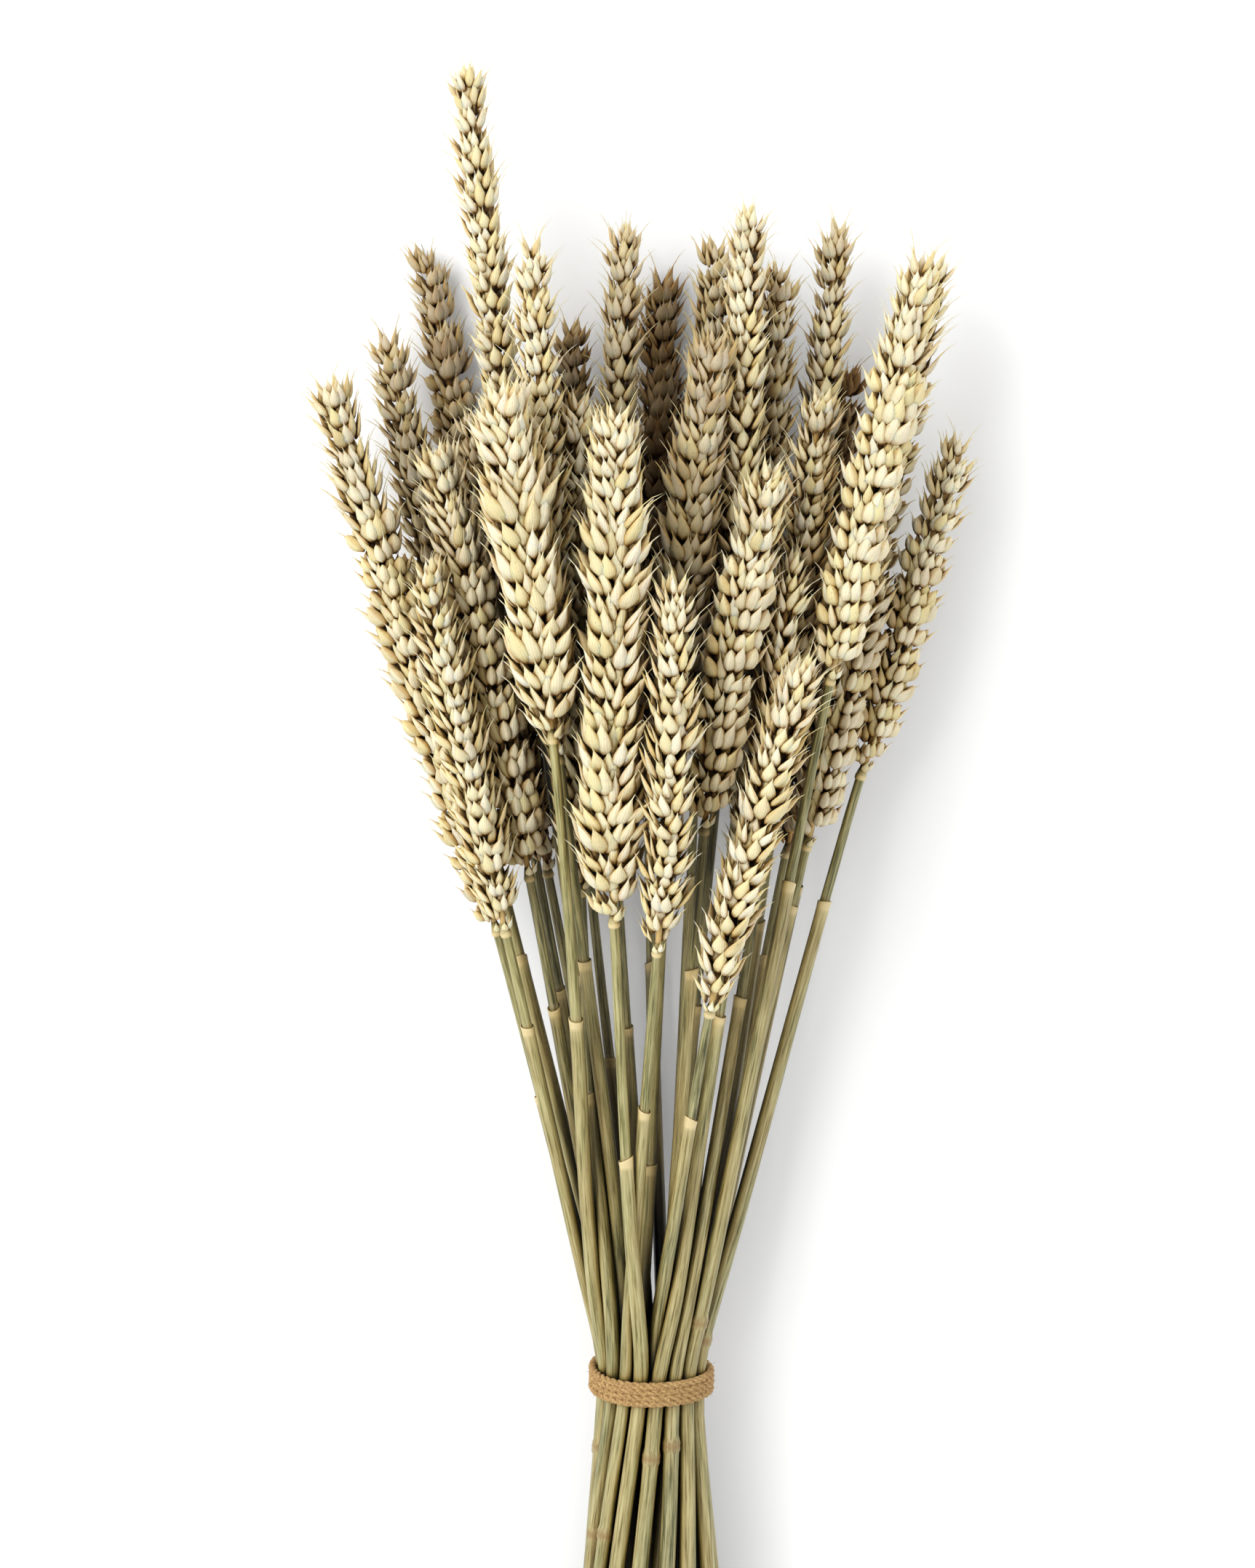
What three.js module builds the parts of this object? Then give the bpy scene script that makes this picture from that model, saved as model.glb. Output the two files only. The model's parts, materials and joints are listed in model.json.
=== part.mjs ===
// A bundle of dried wheat, tied with twine and laid on a flat surface.
//
// The bundle lies along Y, with its ears towards +Y and its cut ends towards -Y, and +Z is up. Every stalk is
// a stem with one ear on it. The stalks' places are planned first, as a fan that opens from the tie, and then
// settled: stalks that would run through each other are pushed apart, the tie holds them together, and the
// surface holds them up. Each stem and each ear is then turned as a straight profile and bent along its stalk.
import * as THREE from "three";

// Sizes in millimetres and angles in degrees.
const fanHalfWidth = 82; // from the middle line to the outermost tip
const fanHalfDepth = 36; // from the middle line to the highest and the lowest ears
const fanHeight = 335; // from the tie to the tallest tip
const fanRise = 2.6; // how steeply the middle line climbs from the cut ends to the ears
const buttLength = 108; // from the tie to the cut ends
const buttFlare = 1.75; // how much wider the cut ends stand than the stems in the tie
const buttTwist = 34; // how far the stems wind round each other below the tie
const buttStep = 3.5; // the cut ends differ by multiples of this

const stemGirth = 2.2; // a stem's diameter just under its ear
const stemTaper = 0.007; // how much the diameter grows for each millimetre further down
const sheathWall = 0.3; // what the dried leaf sheath adds to the stem on each side
const sheathLength = 118; // from the mouth of a sheath to the knot that it grew from
const knotSwell = 0.3; // how far a knot stands proud of the sheath
const knotLength = 3;

const earFlatness = 0.86; // an ear's thickness, as a share of its width
const spikeletPitch = 15; // from one pair of spikelets to the next
const spikeletDip = 0.78; // an ear's width between two pairs, as a share of its width across them

const tieTurns = 4;
const twineGirth = 2;

const gap = 0.4; // left between pieces that touch
const packing = 0.7; // how much of the tie's bore the stems fill
const slice = 6; // the settling looks at the bundle every so many millimetres
const rounds = 500;
const earPull = 0.08; // how strongly the plan holds an ear across the bundle in each round
const stemPull = 0.01;
const depthPull = 0.25; // the plan's hold on the height, as a share of its hold across
const slant = 1.06; // a leaning stalk's section in a slice is this much longer than its width

const tubeSides = 6;
const earSides = 8;
const shortStep = 7; // between a stem's rings near the tie, and further away
const longStep = 30;
const bendReach = 36; // how far from the tie the stems still bend

// Each stalk's place. side, top and level place the ear's tip, in percent of the fan's half width, height and
// half depth. lean is the ear's own slant, ear its length and girth its width. turn rolls the ear about its
// axis. seat is where the stem sits in the tie, as an angle from +X towards +Z and a ring from 0 to 3, and
// bare is the length of naked stem between the ear and the sheath.
const stalks = [
  { side: -99, top: 77, level: -4, lean: -17, ear: 147, girth: 12.8, turn: 35, seat: 212, ring: 3, bare: 46 },
  { side: -69, top: 64, level: 38, lean: -12, ear: 97, girth: 11.6, turn: 35, seat: 190, ring: 3, bare: 27 },
  { side: -71, top: 87, level: -88, lean: -10, ear: 126, girth: 12.2, turn: 30, seat: 236, ring: 3, bare: 72 },
  { side: -82, top: 80, level: -52, lean: -11, ear: 124, girth: 12.4, turn: 30, seat: 225, ring: 2, bare: 40 },
  { side: -66, top: 73, level: 14, lean: -12, ear: 115, girth: 13.6, turn: 25, seat: 185, ring: 2, bare: 35 },
  { side: -56, top: 75, level: -34, lean: -9, ear: 122, girth: 12.4, turn: 50, seat: 265, ring: 2, bare: 52 },
  { side: -56, top: 100, level: -10, lean: -6, ear: 141, girth: 13.2, turn: 80, seat: 200, ring: 1, bare: 92 },
  { side: -46, top: 77, level: 76, lean: -10, ear: 88, girth: 15.6, turn: 5, seat: 170, ring: 3, bare: 77 },
  { side: -36, top: 88, level: 34, lean: -3, ear: 131, girth: 12.8, turn: 60, seat: 145, ring: 2, bare: 54 },
  { side: -25, top: 82, level: -68, lean: -1, ear: 140, girth: 11.6, turn: 30, seat: 260, ring: 3, bare: 55 },
  { side: -23, top: 76, level: 22, lean: 0, ear: 126, girth: 13.6, turn: 0, seat: 150, ring: 3, bare: 53 },
  { side: -11, top: 76, level: 92, lean: 0, ear: 130, girth: 15.2, turn: 0, seat: 108, ring: 3, bare: 64 },
  { side: -8, top: 89, level: -22, lean: 2, ear: 145, girth: 13.4, turn: 85, seat: 270, ring: 1, bare: 62 },
  { side: 4, top: 85, level: -92, lean: 2, ear: 145, girth: 12.8, turn: 40, seat: 284, ring: 3, bare: 35 },
  { side: 19, top: 81, level: 26, lean: 6, ear: 113, girth: 13.8, turn: 10, seat: 108, ring: 2, bare: 102 },
  { side: 7, top: 64, level: 100, lean: 3, ear: 96, girth: 13.8, turn: 60, seat: 130, ring: 3, bare: 45 },
  { side: 29, top: 90, level: 6, lean: 2, ear: 123, girth: 13.8, turn: 85, seat: 0, ring: 0, bare: 81 },
  { side: 20, top: 88, level: -46, lean: 2, ear: 137, girth: 12.4, turn: 40, seat: 305, ring: 2, bare: 29 },
  { side: 39, top: 86, level: -30, lean: 4, ear: 142, girth: 13.0, turn: 30, seat: 345, ring: 1, bare: 71 },
  { side: 36, top: 72, level: 66, lean: 11, ear: 96, girth: 13.6, turn: 25, seat: 68, ring: 2, bare: 38 },
  { side: 43, top: 65, level: 40, lean: 9, ear: 93, girth: 13.2, turn: 90, seat: 84, ring: 3, bare: 28 },
  { side: 46, top: 58, level: 100, lean: 16, ear: 95, girth: 14.6, turn: 90, seat: 60, ring: 1, bare: 2 },
  { side: 57, top: 89, level: -40, lean: 5, ear: 122, girth: 13.2, turn: 75, seat: 330, ring: 3, bare: 61 },
  { side: 51, top: 77, level: 22, lean: 6, ear: 103, girth: 12.4, turn: 40, seat: 56, ring: 3, bare: 56 },
  { side: 61, top: 78, level: -84, lean: 6, ear: 128, girth: 13.0, turn: 35, seat: 307, ring: 3, bare: 28 },
  { side: 80, top: 86, level: 46, lean: 12, ear: 106, girth: 13.6, turn: 30, seat: 32, ring: 3, bare: 54 },
  { side: 88, top: 87, level: -36, lean: 12, ear: 124, girth: 13.4, turn: 60, seat: 345, ring: 2, bare: 44 },
  { side: 70, top: 64, level: 0, lean: 14, ear: 77, girth: 12.2, turn: 20, seat: 25, ring: 2, bare: 16 },
  { side: 95, top: 73, level: -12, lean: 17, ear: 91, girth: 11.6, turn: 30, seat: 0, ring: 3, bare: 35 },
];

const sine = (degrees) => Math.sin(THREE.MathUtils.degToRad(degrees));
const cosine = (degrees) => Math.cos(THREE.MathUtils.degToRad(degrees));
const slope = (degrees) => Math.tan(THREE.MathUtils.degToRad(degrees));

// ---- Profiles: radius against the distance from the stalk's foot, where the ear meets the stem ----

// A stem's radius at a distance below its ear: bare stem, then the sheath, with a knot where it grew from.
function stemRadius(stalk, below) {
  const bare = (stemGirth + stemTaper * below) / 2;
  const toKnot = Math.abs(below - stalk.bare - sheathLength);
  const knot = Math.max(0, 1 - toKnot / (knotLength / 2)) * knotSwell;
  return bare + (below > stalk.bare ? sheathWall : 0) + knot;
}

// The room that a stem needs around a place, where a knot may lie a little higher or lower.
const stemRoom = (stalk, below) =>
  Math.max(...[-slice, 0, slice].map((shift) => stemRadius(stalk, below + shift)));

// An ear's half width at a distance above its foot, without the spikelets' steps.
function earRadius(stalk, above) {
  const share = THREE.MathUtils.clamp(above / stalk.ear, 0, 1);
  const swelling = Math.min(1, 0.5 + 3.2 * share) * Math.min(1, 0.38 + 1.9 * (1 - share));
  return (stalk.girth / 2) * swelling;
}

// The distances below its ear at which a stem's profile has a point: close together near the tie, where the
// stems bend, and on both sides of the sheath's mouth and of the knot.
function stemStations(stalk, length, toTie) {
  const mouth = stalk.bare;
  const knot = stalk.bare + sheathLength;
  const steps = [mouth, mouth + 0.6, knot - knotLength / 2, knot, knot + knotLength / 2];
  const even = [];
  for (let at = longStep; at < length - longStep / 2; ) {
    even.push(at);
    at += Math.abs(at + shortStep - toTie) < bendReach ? shortStep : longStep;
  }
  const clear = even.filter((at) => steps.every((other) => Math.abs(at - other) > shortStep / 2));
  return [...steps, ...clear].filter((at) => at > 1 && at < length - 1).sort((p, q) => p - q);
}

// ---- The plan: a straight line for each stalk, one point for every slice ----

// The height of the bundle's middle line above the tie's middle.
const middle = (along) => along * slope(fanRise);
const footOf = (stalk) => ({
  across: (stalk.side / 100) * fanHalfWidth - stalk.ear * sine(stalk.lean),
  along: (stalk.top / 100) * fanHeight - stalk.ear * cosine(stalk.lean),
});
const tieRadius = (stalk) => stemRoom(stalk, footOf(stalk).along);
const stemArea = stalks.reduce((sum, stalk) => sum + (tieRadius(stalk) + gap / 2) ** 2, 0);
const bunchRadius = Math.sqrt(stemArea / packing);

function seatOf(stalk) {
  const ringRadius = (stalk.ring / 3) * (bunchRadius - tieRadius(stalk));
  return { x: ringRadius * cosine(stalk.seat), z: ringRadius * sine(stalk.seat) };
}

function planStalk(stalk, index) {
  const foot = footOf(stalk);
  const seat = seatOf(stalk);
  const tipAcross = (stalk.side / 100) * fanHalfWidth;
  const tipAlong = (stalk.top / 100) * fanHeight;
  const level = (stalk.level / 100) * fanHalfDepth;
  const first = -Math.round((buttLength - buttStep * ((index * 3) % 5)) / slice);
  const last = Math.ceil(tipAlong / slice);
  const points = [];
  for (let k = first; k <= last; k++) {
    const along = k * slice;
    if (along < 0) {
      const share = along / -buttLength;
      const spread = 1 + (buttFlare - 1) * share;
      const turned = stalk.seat + buttTwist * share;
      const ringRadius = Math.hypot(seat.x, seat.z) * spread;
      points.push({ x: ringRadius * cosine(turned), z: ringRadius * sine(turned) + middle(along) });
    } else if (along < foot.along) {
      const share = along / foot.along;
      const x = THREE.MathUtils.lerp(seat.x, foot.across, share);
      points.push({ x, z: THREE.MathUtils.lerp(seat.z, level, share) + middle(along) });
    } else {
      const share = (along - foot.along) / (tipAlong - foot.along);
      const x = THREE.MathUtils.lerp(foot.across, tipAcross, share);
      points.push({ x, z: level * (1 + 0.12 * share) + middle(along) });
    }
  }
  const stemSlant = Math.hypot(foot.across - seat.x, foot.along, level - seat.z) / foot.along;
  const radii = points.map((_, i) => {
    const above = (first + i) * slice - foot.along;
    if (above > -slice / 2) return earRadius(stalk, above / cosine(stalk.lean));
    return stemRoom(stalk, -above * stemSlant);
  });
  return { ...stalk, foot, tipAlong, first, points, radii, plan: points.map((p) => ({ ...p })) };
}

// ---- Settling ----

const planned = stalks.map(planStalk);
const gatherReach = (tieTurns * twineGirth) / 2 + 2; // the stems stay gathered this far from the tie's middle
// The surface's height: the lowest cut ends rest on it, and no ear goes below it.
const surface = middle(-buttLength) - bunchRadius * buttFlare;

function towardsPlan(stalk, hold) {
  stalk.points.forEach((p, i) => {
    const inEar = (stalk.first + i) * slice >= stalk.foot.along;
    const pull = hold * (inEar ? earPull : stemPull);
    p.x += (stalk.plan[i].x - p.x) * pull;
    p.z += (stalk.plan[i].z - p.z) * pull * depthPull;
  });
}

function straighten(stalk, amount) {
  const { points } = stalk;
  for (const axis of ["x", "z"]) {
    for (let i = 1; i < points.length - 1; i++) {
      points[i][axis] += ((points[i - 1][axis] + points[i + 1][axis]) / 2 - points[i][axis]) * amount;
    }
  }
}

function pushApart(k) {
  const here = planned.filter((s) => k >= s.first && k - s.first < s.points.length);
  here.forEach((a, n) => {
    const p = a.points[k - a.first];
    here.slice(n + 1).forEach((b) => {
      const q = b.points[k - b.first];
      const apart = (a.radii[k - a.first] + b.radii[k - b.first]) * slant + gap;
      const dx = q.x - p.x;
      const dz = q.z - p.z;
      const distance = Math.hypot(dx, dz) || 1e-6;
      if (distance >= apart) return;
      const push = (apart - distance) / 2 / distance;
      p.x -= dx * push;
      p.z -= dz * push;
      q.x += dx * push;
      q.z += dz * push;
    });
  });
}

function gather(stalk) {
  stalk.points.forEach((p, i) => {
    const along = (stalk.first + i) * slice;
    if (Math.abs(along) > gatherReach) return;
    const room = bunchRadius - stalk.radii[i];
    const z = p.z - middle(along);
    const out = Math.hypot(p.x, z);
    if (out <= room) return;
    p.x *= room / out;
    p.z = (z * room) / out + middle(along);
  });
}

function liftOff(stalk) {
  stalk.points.forEach((p, i) => {
    p.z = Math.max(p.z, surface + stalk.radii[i]);
  });
}

const firstSlice = Math.min(...planned.map((s) => s.first));
const lastSlice = Math.max(...planned.map((s) => s.first + s.points.length - 1));
for (let round = 0; round < rounds; round++) {
  // The plan and the stalks' stiffness let go slowly, so that at the end nothing pushes stalks together.
  const hold = Math.max(0, Math.min(1, 1.6 - (2 * round) / rounds));
  for (const stalk of planned) {
    towardsPlan(stalk, hold);
    for (let pass = 0; pass < 3; pass++) straighten(stalk, 0.5 * hold);
  }
  planned.forEach(gather);
  planned.forEach(liftOff);
  for (let k = firstSlice; k <= lastSlice; k++) pushApart(k);
}

// ---- Solids ----

// The stalk's centre line as a smooth curve from its cut end to its tip.
const lineOf = (stalk) =>
  new THREE.CatmullRomCurve3(
    stalk.points.map((p, i) => new THREE.Vector3(p.x, (stalk.first + i) * slice, p.z)),
    false,
    "centripetal",
  );

// Bends a shape that was turned about Y along a curve: its y becomes the distance from `start` along it.
function bend(geometry, curve, start, turn, flatness) {
  const length = curve.getLength();
  const place = geometry.attributes.position;
  const at = new THREE.Vector3();
  for (let i = 0; i < place.count; i++) {
    at.fromBufferAttribute(place, i);
    const share = THREE.MathUtils.clamp((start + at.y) / length, 0, 1);
    const tangent = curve.getTangentAt(share);
    const side = new THREE.Vector3(1, 0, 0).addScaledVector(tangent, -tangent.x).normalize();
    side.applyAxisAngle(tangent, THREE.MathUtils.degToRad(turn));
    const up = new THREE.Vector3().crossVectors(side, tangent);
    const middlePoint = curve.getPointAt(share);
    middlePoint.addScaledVector(side, at.x).addScaledVector(up, at.z * flatness);
    place.setXYZ(i, middlePoint.x, middlePoint.y, middlePoint.z);
  }
  return geometry;
}

const turned = (profile, sides) =>
  new THREE.LatheGeometry(profile.map(([radius, along]) => new THREE.Vector2(radius, along)), sides);

// The distance along the curve at which the stalk's foot lies.
function footDistance(stalk, curve) {
  const lengths = curve.getLengths(400);
  const shares = lengths.map((l) => l / lengths.at(-1));
  const found = shares.find((share) => curve.getPointAt(share).y >= stalk.foot.along);
  return found * lengths.at(-1);
}

function stemMesh(stalk, curve, foot, material) {
  const length = foot - gap / 2;
  const toTie = foot + stalk.first * slice;
  const stations = stemStations(stalk, length, toTie).reverse();
  const profile = [
    [0, 0],
    [stemRadius(stalk, length), 0],
    ...stations.map((below) => [stemRadius(stalk, below), length - below]),
    [stemRadius(stalk, 0), length],
    [0, length],
  ];
  return new THREE.Mesh(bend(turned(profile, tubeSides), curve, 0, 0, 1), material);
}

function earMesh(stalk, curve, foot, material) {
  const length = Math.min(stalk.ear, curve.getLength() - foot) - gap / 2;
  const steps = Math.round(length / spikeletPitch);
  const pitch = length / steps;
  const profile = [[0, 0]];
  for (let step = 0; step < steps; step++) {
    const low = step * pitch;
    const high = low + 0.72 * pitch;
    profile.push([earRadius(stalk, low) * spikeletDip, low], [earRadius(stalk, high), high]);
  }
  profile.push([earRadius(stalk, length) * 0.5, length], [0, length]);
  const start = foot + gap / 2;
  return new THREE.Mesh(bend(turned(profile, earSides), curve, start, stalk.turn, earFlatness), material);
}

const straw = new THREE.MeshStandardMaterial({ color: "#a3a079", roughness: 0.6, metalness: 0 });
const husk = new THREE.MeshStandardMaterial({ color: "#d8c9a0", roughness: 0.7, metalness: 0 });
const jute = new THREE.MeshStandardMaterial({ color: "#b08d5e", roughness: 0.9, metalness: 0 });

function tieMesh() {
  const inner = bunchRadius + gap;
  const outer = inner + twineGirth;
  const half = (tieTurns * twineGirth) / 2;
  const round = twineGirth * 0.35;
  const profile = [
    [inner, -half + round],
    [inner + round, -half],
    [outer - round, -half],
    [outer, -half + round],
    [outer, half - round],
    [outer - round, half],
    [inner + round, half],
    [inner, half - round],
    [inner, -half + round],
  ];
  const ring = new THREE.Mesh(turned(profile, 28), jute);
  ring.rotation.x = THREE.MathUtils.degToRad(fanRise);
  return ring;
}

const bundle = new THREE.Group();
planned.forEach((stalk, index) => {
  const number = String(index + 1).padStart(2, "0");
  const curve = lineOf(stalk);
  curve.arcLengthDivisions = 600;
  const foot = footDistance(stalk, curve);
  const stem = stemMesh(stalk, curve, foot, straw);
  const ear = earMesh(stalk, curve, foot, husk);
  stem.name = `stem_${number}`;
  ear.name = `ear_${number}`;
  bundle.add(stem, ear);
});
const tie = tieMesh();
tie.name = "twine_tie";
bundle.add(tie);

// The part's origin is under the middle of its bounding box, on the surface it lies on.
const box = new THREE.Box3().setFromObject(bundle, true);
const centre = box.getCenter(new THREE.Vector3());
bundle.position.set(-centre.x, -centre.y, -box.min.z);

export default new THREE.Group().add(bundle);
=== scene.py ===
import json
import math
import bpy
import numpy as np
from mathutils import Matrix, Vector

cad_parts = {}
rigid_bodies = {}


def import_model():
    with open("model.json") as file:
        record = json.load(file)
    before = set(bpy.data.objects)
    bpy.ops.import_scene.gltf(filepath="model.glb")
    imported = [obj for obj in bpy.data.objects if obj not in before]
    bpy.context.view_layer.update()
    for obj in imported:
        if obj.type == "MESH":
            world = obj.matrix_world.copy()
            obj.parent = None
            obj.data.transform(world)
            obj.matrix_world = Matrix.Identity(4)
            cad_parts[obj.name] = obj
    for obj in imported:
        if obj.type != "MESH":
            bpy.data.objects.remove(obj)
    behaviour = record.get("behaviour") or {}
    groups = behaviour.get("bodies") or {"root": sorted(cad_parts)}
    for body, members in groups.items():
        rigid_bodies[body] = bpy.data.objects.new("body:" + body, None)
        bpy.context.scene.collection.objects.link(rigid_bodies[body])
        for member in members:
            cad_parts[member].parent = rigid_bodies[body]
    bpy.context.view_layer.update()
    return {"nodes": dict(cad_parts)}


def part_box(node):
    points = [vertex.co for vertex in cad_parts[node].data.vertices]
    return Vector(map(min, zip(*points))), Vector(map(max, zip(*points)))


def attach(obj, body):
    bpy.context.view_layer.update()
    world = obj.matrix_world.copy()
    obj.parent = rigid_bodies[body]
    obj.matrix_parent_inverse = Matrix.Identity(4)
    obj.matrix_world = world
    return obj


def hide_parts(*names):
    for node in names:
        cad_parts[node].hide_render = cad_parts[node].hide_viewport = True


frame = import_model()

mm = 0.001
print("frame loaded,", len(frame["nodes"]), "nodes")


def linear(hexColour):
    parts = [int(hexColour[i:i + 2], 16) / 255 for i in (1, 3, 5)]
    return [c / 12.92 if c <= 0.04045 else ((c + 0.055) / 1.055) ** 2.4 for c in parts] + [1.0]


def add(tree, kind, settings=None, inputs=None):  # a node with its settings, and its sockets set or linked
    node = tree.nodes.new(kind)
    for name, value in (settings or {}).items():
        setattr(node, name, value)
    for key, value in (inputs or {}).items():
        if isinstance(value, bpy.types.NodeSocket):
            tree.links.new(value, node.inputs[key])
        else:
            node.inputs[key].default_value = value
    return node


def treeWith(name, sockets):
    tree = bpy.data.node_groups.new(name, "GeometryNodeTree")
    for label, kind in [("Geometry", "Geometry")] + sockets:
        tree.interface.new_socket(label, in_out="INPUT", socket_type="NodeSocket" + kind)
    tree.interface.new_socket("Geometry", in_out="OUTPUT", socket_type="NodeSocketGeometry")
    return tree, add(tree, "NodeGroupInput").outputs, add(tree, "NodeGroupOutput").inputs


def meshOf(name, points, faces=(), edges=(), **attributes):
    mesh = bpy.data.meshes.new(name)
    mesh.from_pydata([tuple(p) for p in points], list(edges), list(faces))
    for label, values in attributes.items():
        values = np.asarray(values, np.float32)
        kind, slot = ("FLOAT_VECTOR", "vector") if values.ndim == 2 else ("FLOAT", "value")
        mesh.attributes.new(label, kind, "POINT").data.foreach_set(slot, values.ravel())
    return mesh


def grown(name, source, tree, values):  # runs a tree on a mesh and keeps the result as a plain piece
    seed = bpy.data.objects.new(name + "Seed", source)
    bpy.context.scene.collection.objects.link(seed)
    modifier = seed.modifiers.new("grow", "NODES")
    modifier.node_group = tree
    for item in tree.interface.items_tree:
        if item.in_out == "INPUT" and item.name in values:
            modifier[item.identifier] = values[item.name]
    graph = bpy.context.evaluated_depsgraph_get()
    mesh = bpy.data.meshes.new_from_object(
        seed.evaluated_get(graph), preserve_all_data_layers=True, depsgraph=graph)
    bpy.data.objects.remove(seed)
    piece = bpy.data.objects.new(name, mesh)
    bpy.context.scene.collection.objects.link(piece)
    return piece


def sliceMiddles(node, heights):  # the middle and the width of a solid, cut across at each y
    mesh = frame["nodes"][node].data
    points = np.zeros(len(mesh.vertices) * 3)
    mesh.vertices.foreach_get("co", points)
    points = points.reshape(-1, 3)
    ends = np.zeros(len(mesh.edges) * 2, int)
    mesh.edges.foreach_get("vertices", ends)
    low, high = points[ends[::2]], points[ends[1::2]]
    middles, widths = [], []
    for y in heights:
        cut = (low[:, 1] - y) * (high[:, 1] - y) < 0
        share = (y - low[cut, 1]) / (high[cut, 1] - low[cut, 1])
        hits = low[cut] + share[:, None] * (high[cut] - low[cut])
        middles.append((hits.min(0) + hits.max(0)) / 2)
        widths.append(np.ptp(hits[:, 0]))
    return np.array(middles), np.array(widths)


def evened(points, passes):  # takes the corners out of a line and keeps its ends
    points = points.copy()
    for _ in range(passes):
        points[1:-1] = (points[:-2] + 2 * points[1:-1] + points[2:]) / 4
    return points


def stalkLine(number):
    stem, ear = f"stem_{number:02d}", f"ear_{number:02d}"
    cutEnd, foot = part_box(stem)[0].y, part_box(ear)[0].y
    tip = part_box(ear)[1].y
    stemPart, _ = sliceMiddles(stem, np.arange(cutEnd + 1 * mm, foot - 2 * mm, 3 * mm))
    earPart, earWidths = sliceMiddles(ear, np.arange(foot + 3 * mm, tip - 2 * mm, 3 * mm))
    line = evened(np.vstack([stemPart, earPart]), 6)
    line = np.vstack([2 * line[0] - line[1], line, 2 * line[-1] - line[-2]])
    steps = np.linalg.norm(np.diff(line, axis=0), axis=1)
    along = np.concatenate([[0], np.cumsum(steps)])
    footAlong = float(np.interp(foot, line[:, 1], along))
    return {
        "points": line,
        "along": along,
        "foot": footAlong,
        "tip": float(along[-1]),
        "girth": float(np.percentile(earWidths, 80)),
    }


def pointAt(line, along):
    return np.array([np.interp(along, line["along"], line["points"][:, k]) for k in range(3)])


def lineMesh(name, line, start, end, step):
    count = max(2, round((end - start) / step) + 1)
    points = [pointAt(line, a) for a in np.linspace(start, end, count)]
    return meshOf(name, points, edges=[(i, i + 1) for i in range(count - 1)])


bundle = {
    "stalks": 29,
    # how far each ear's two ranks are turned, from side by side (0) to one above the other (90)
    "earTurn": [35, 35, 30, 30, 25, 50, 80, 5, 60, 30, 0, 0, 85, 40, 10,
                60, 85, 40, 30, 25, 90, 90, 75, 40, 35, 30, 60, 20, 30],
    # ears whose grains have swollen their husks open
    "plumpEars": [1, 3, 5, 20, 26, 27, 28, 29],
    # how brown each ear is drawn: its own weathering, and painted shade on the ears buried at the back
    "earAgeAndShade": [0.08, 0.0, 0.5, 0.3, 0.1, 0.3, 0.0, 0.0, 0.0, 0.6, 0.1, 0.0, 0.3, 0.75, 0.4,
               0.0, 0.0, 0.3, 0.2, 0.05, 0.0, 0.0, 0.2, 0.15, 0.75, 0.0, 0.1, 0.25, 0.15],
}
lines = {n: stalkLine(n) for n in range(1, bundle["stalks"] + 1)}
print("stalk lines read")


def surface(name, roughness, specular):
    material = bpy.data.materials.new(name)
    material.use_nodes = True
    tree = material.node_tree
    shader = tree.nodes["Principled BSDF"]
    shader.inputs["Roughness"].default_value = roughness
    shader.inputs["Specular IOR Level"].default_value = specular
    return material, tree, shader


# Painted shade: ambient occlusion darkens the base colour in crevices and under other stalks.
paintedShade = {
    # painted shade tones, from the deepest crevice up to one that is nearly open, and the openness that
    # counts as open
    "chaff": {"reach": 20 * mm, "tones": ["#2e1803", "#a4681a", "#f0c46a", "#fae6b8"], "openFrom": 0.52},
    "straw": {"reach": 30 * mm, "tones": ["#060401", "#2f290f", "#998f5e", "#fae6b8"], "openFrom": 0.84},
    "steps": [0.0, 0.2, 0.42, 0.68],
    "farReach": 75 * mm,  # painted shade: stalks over and around one within this far darken its colour
    "farShade": (0.02, 0.3, 0.08),  # fully buried, open enough, and the share of colour left by the painted shade when buried
}


def paintShade(tree, colour, shader, kind):
    # Painted shade: the base colour is darkened in a crevice between dry leaves, golden first, then brown.
    reach, tones, openFrom = kind["reach"], kind["tones"], kind["openFrom"]
    found = add(tree, "ShaderNodeAmbientOcclusion", {"samples": 6}, {"Distance": reach})
    shadeRamp = add(tree, "ShaderNodeValToRGB", inputs={"Fac": found.outputs["AO"]})
    shadeRamp.color_ramp.elements[0].color = linear(tones[0])
    shadeRamp.color_ramp.elements[1].position = openFrom
    shadeRamp.color_ramp.elements[1].color = linear("#ffffff")
    for share, tone in zip(paintedShade["steps"][1:], tones[1:]):
        shadeRamp.color_ramp.elements.new(share * openFrom).color = linear(tone)
    creviceShaded = add(tree, "ShaderNodeMix", {"data_type": "RGBA", "blend_type": "MULTIPLY"}, {
        0: 1.0, 6: colour, 7: shadeRamp.outputs["Color"]})
    # painted shade: stalks buried under the others get a much darker colour
    around = add(tree, "ShaderNodeAmbientOcclusion", {"samples": 4}, {"Distance": paintedShade["farReach"]})
    closed, clear, left = paintedShade["farShade"]
    burialShade = add(tree, "ShaderNodeMapRange", {"interpolation_type": "SMOOTHSTEP"}, {
        "Value": around.outputs["AO"], "From Min": closed, "From Max": clear,
        "To Min": left, "To Max": 1.0})
    burialShaded = add(tree, "ShaderNodeMix", {"data_type": "RGBA", "blend_type": "MULTIPLY"}, {
        0: 1.0, 6: creviceShaded.outputs[2], 7: burialShade.outputs[0]})
    tree.links.new(burialShaded.outputs[2], shader.inputs["Base Color"])


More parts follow.
